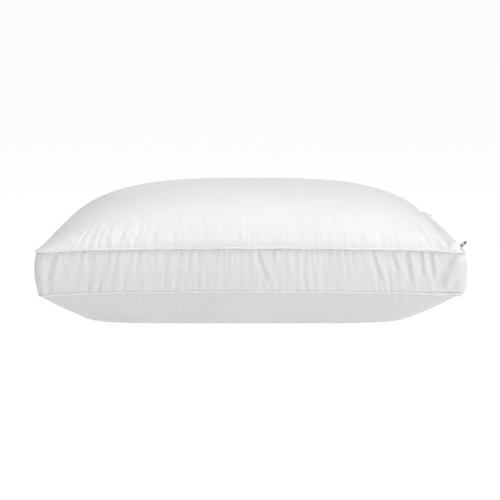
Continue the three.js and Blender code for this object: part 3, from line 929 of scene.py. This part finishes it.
COIL_PITCH = 1.4 * MM
COIL_HALF_WIDTH = 0.36 * MM
COIL_CENTRE = (1.3, 0.95)  # across and out from the zip's middle, in mm
COIL_OUTLINE = ((0.42, 0.45), (1.9, 0.4), (2.15, 0.75), (1.9, 1.3), (0.9, 1.65), (0.4, 1.3))
COIL_RINGS = ((-1, 0.85), (-0.5, 1), (0.5, 1), (1, 0.85))  # place in half widths, and size


def coil_element(side, y):
    """Points of one rounded hook of the coil, ring by ring."""
    points = []
    for place, size in COIL_RINGS:
        for across, out in COIL_OUTLINE:
            inward = COIL_CENTRE[0] + (across - COIL_CENTRE[0]) * size
            outward = COIL_CENTRE[1] + (out - COIL_CENTRE[1]) * size
            x, z = zip_point(side * inward * MM, outward * MM)
            points.append((x, y + place * COIL_HALF_WIDTH, z))
    return points


def make_coil(side, node, name):
    """One row of nylon elements, a hook every pitch, staggered against the other row."""
    low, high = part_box(node)
    start = low.y + (0.5 * COIL_PITCH if side > 0 else 0)
    points = []
    faces = []
    for y in np.arange(start + COIL_HALF_WIDTH, high.y - COIL_HALF_WIDTH, COIL_PITCH):
        element = tube_faces(len(points), len(COIL_RINGS), len(COIL_OUTLINE))
        faces += element if side < 0 else [face[::-1] for face in element]
        points += coil_element(side, y)
    piece = new_piece(name, points, faces, NYLON)
    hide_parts(node)


UNDERLAY_SECTION = ((-3, -2.1), (0, -2.0), (3, -2.1), (3, -2.5), (0, -2.4), (-3, -2.5))  # in mm


def make_underlay():
    """The strip of lining behind the coil, just clear of the slider's lower plate."""
    ys = even_steps(-ZIP_HALF_LENGTH, ZIP_HALF_LENGTH, 5 * MM)
    rows = []
    for inward, outward in UNDERLAY_SECTION:
        x, z = zip_point(inward * MM, outward * MM)
        rows.append(np.stack([np.full_like(ys, x), ys, np.full_like(ys, z)], axis=1))
    strip_piece("zip_underlay", rows, LINING)


# ---- slider, pull and stops --------------------------------------------------------------------

SAME_POINT = 0.01 * MM
SAME_PLANE = math.radians(3)
SHARP_EDGE = math.radians(40)


def make_hard_part(node, name, body, material, bevel):
    """A copy of one of the zip's hard CAD parts with its edges rounded over."""
    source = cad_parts[node]
    mesh = source.data.copy()
    form = bmesh.new()
    form.from_mesh(mesh)
    bmesh.ops.remove_doubles(form, verts=form.verts, dist=SAME_POINT)
    bmesh.ops.dissolve_limit(form, angle_limit=SAME_PLANE, verts=form.verts, edges=form.edges)
    form.to_mesh(mesh)
    form.free()
    piece = bpy.data.objects.new(name, mesh)
    piece.matrix_world = source.matrix_world.copy()
    bpy.context.scene.collection.objects.link(piece)
    mesh.materials.clear()
    mesh.materials.append(material)
    rounding = piece.modifiers.new("rounding", "BEVEL")
    rounding.width = bevel
    rounding.segments = 2
    rounding.limit_method = "ANGLE"
    rounding.angle_limit = SHARP_EDGE
    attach(piece, body)
    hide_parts(node)


# ---- care label --------------------------------------------------------------------------------

LABEL_HALF_WIDTH = 5.5 * MM
LABEL_HEIGHT = 7 * MM
LABEL_HALF_THICKNESS = 0.45 * MM
LABEL_FOOT = (2.4 * MM, 0.4 * MM)  # outwards across the zip from its middle, and up from its plane


def make_label():
    """A blank satin ribbon folded double, leaning out of the seam with a slight wave."""
    low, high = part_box("care_label")
    middle = (low.y + high.y) / 2
    ys = np.linspace(middle - LABEL_HALF_WIDTH, middle + LABEL_HALF_WIDTH, 13)
    up = np.linspace(0, 1, 9)
    half = LABEL_HALF_THICKNESS
    section = [(t, -half) for t in up]
    section += [(1.04, -0.3 * half), (1.04, 0.3 * half)]
    section += [(t, half) for t in up[::-1]]
    rows = []
    for t, side in section:
        wave = 0.5 * MM * t * np.sin((ys - middle) / LABEL_HALF_WIDTH * 2.2)
        across = LABEL_FOOT[0] + side + 1.8 * MM * t * t + wave
        x, z = zip_point(-across, LABEL_FOOT[1] + LABEL_HEIGHT * t - 0.6 * MM * t * t)
        rows.append(np.stack([x, ys, z], axis=1))
    piece = strip_piece("label_ribbon", rows, SATIN)
    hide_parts("care_label")


# ---- the CAD nodes that stay -------------------------------------------------------------------

KEPT_NODES = {
    "upper_piping_cord": CORD,
    "lower_piping_cord": CORD,
    "liner_upper": LINING,
    "liner_lower": LINING,
    "fill_core": FIBRE,
}


def finish_kept_nodes():
    for name, material in KEPT_NODES.items():
        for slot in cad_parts[name].material_slots:
            slot.material = material


# ---- studio ------------------------------------------------------------------------------------

def make_world():
    """White at the horizon and dimmer overhead, so that the lamps shape the cloth."""
    world = bpy.data.worlds.new("studio")
    bpy.context.scene.world = world
    world.use_nodes = True
    tree = world.node_tree
    place = tree.nodes.new("ShaderNodeTexCoord")
    split = tree.nodes.new("ShaderNodeSeparateXYZ")
    spread = tree.nodes.new("ShaderNodeMapRange")
    spread.inputs["From Min"].default_value = 0.03
    spread.inputs["From Max"].default_value = 0.15
    spread.inputs["To Min"].default_value = 0.97
    spread.inputs["To Max"].default_value = 0.36
    tree.links.new(place.outputs["Generated"], split.inputs["Vector"])
    tree.links.new(split.outputs["Z"], spread.inputs["Value"])
    tree.links.new(spread.outputs["Result"], tree.nodes["Background"].inputs["Strength"])
    tree.nodes["Background"].inputs["Color"].default_value = (1, 1, 1, 1)


def add_softbox(name, place, size, energy):
    """A round lamp that points at the pillow."""
    lamp = bpy.data.lights.new(name, "AREA")
    lamp.shape = "DISK"
    lamp.size = size
    lamp.energy = energy
    box = bpy.data.objects.new(name, lamp)
    box.location = place
    box.rotation_euler = (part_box("fill_core")[0] - box.location).to_track_quat("-Z", "Y").to_euler()
    bpy.context.scene.collection.objects.link(box)


SOFTBOXES = (  # name, place, size across and energy
    ("key_softbox", (0.45, -0.45, 2.2), 0.8, 29),
    ("side_softbox", (1.7, -2.2, 0.9), 0.7, 29),
    ("left_softbox", (-2.0, -0.6, 1.3), 0.9, 7),
)
FLOOR_SIZE = 80
FLOOR_Z = -0.3 * MM  # just below the pillow


def make_studio():
    bpy.ops.mesh.primitive_plane_add(size=FLOOR_SIZE, location=(0, 0, FLOOR_Z))
    floor = bpy.context.object
    floor.name = "studio_floor"
    floor.data.materials.append(floor_material())
    make_world()
    for softbox in SOFTBOXES:
        add_softbox(*softbox)


CAMERA_DISTANCE = 2.498
CAMERA_HEIGHT = 0.421
CAMERA_PITCH = 0.132
FOCAL_PIXELS = 1539.0
IMAGE_WIDTH = 500


def make_camera():
    data = bpy.data.cameras.new("camera")
    data.sensor_width = 36
    data.lens = data.sensor_width * FOCAL_PIXELS / IMAGE_WIDTH
    camera = bpy.data.objects.new("camera", data)
    camera.location = (0, -CAMERA_DISTANCE, CAMERA_HEIGHT)
    camera.rotation_euler = (math.pi / 2 - CAMERA_PITCH, 0, 0)
    bpy.context.scene.collection.objects.link(camera)
    bpy.context.scene.camera = camera


bpy.context.scene.view_settings.view_transform = "Standard"
make_camera()
make_studio()
make_top()
make_bottom()
make_gusset()
make_piping("upper_piping", "upper_piping_cover", 0, UPPER_SEAM_Z, 151)
make_piping("lower_piping", "lower_piping_cover", LOWER_INSET, LOWER_SEAM_Z, 163)
make_fly()
make_fly_stitches()
make_tape("tape_inner", "zip_tape_inner", inner_tape_line, sink=9 * MM)
make_tape("tape_outer", "zip_tape_outer", outer_tape_line, sink=3.5 * MM)
make_coil(-1, "zip_coil_outer", "coil_outer")
make_coil(1, "zip_coil_inner", "coil_inner")
make_underlay()
make_hard_part("zip_slider", "slider_body", "slider", NICKEL, 0.16 * MM)
make_hard_part("zip_pull", "pull_tab", "pull", NICKEL, 0.14 * MM)
make_hard_part("zip_top_stop", "top_stop", "pillow", NYLON, 0.3 * MM)
make_hard_part("zip_bottom_stop", "bottom_stop", "pillow", NYLON, 0.3 * MM)
make_label()
finish_kept_nodes()
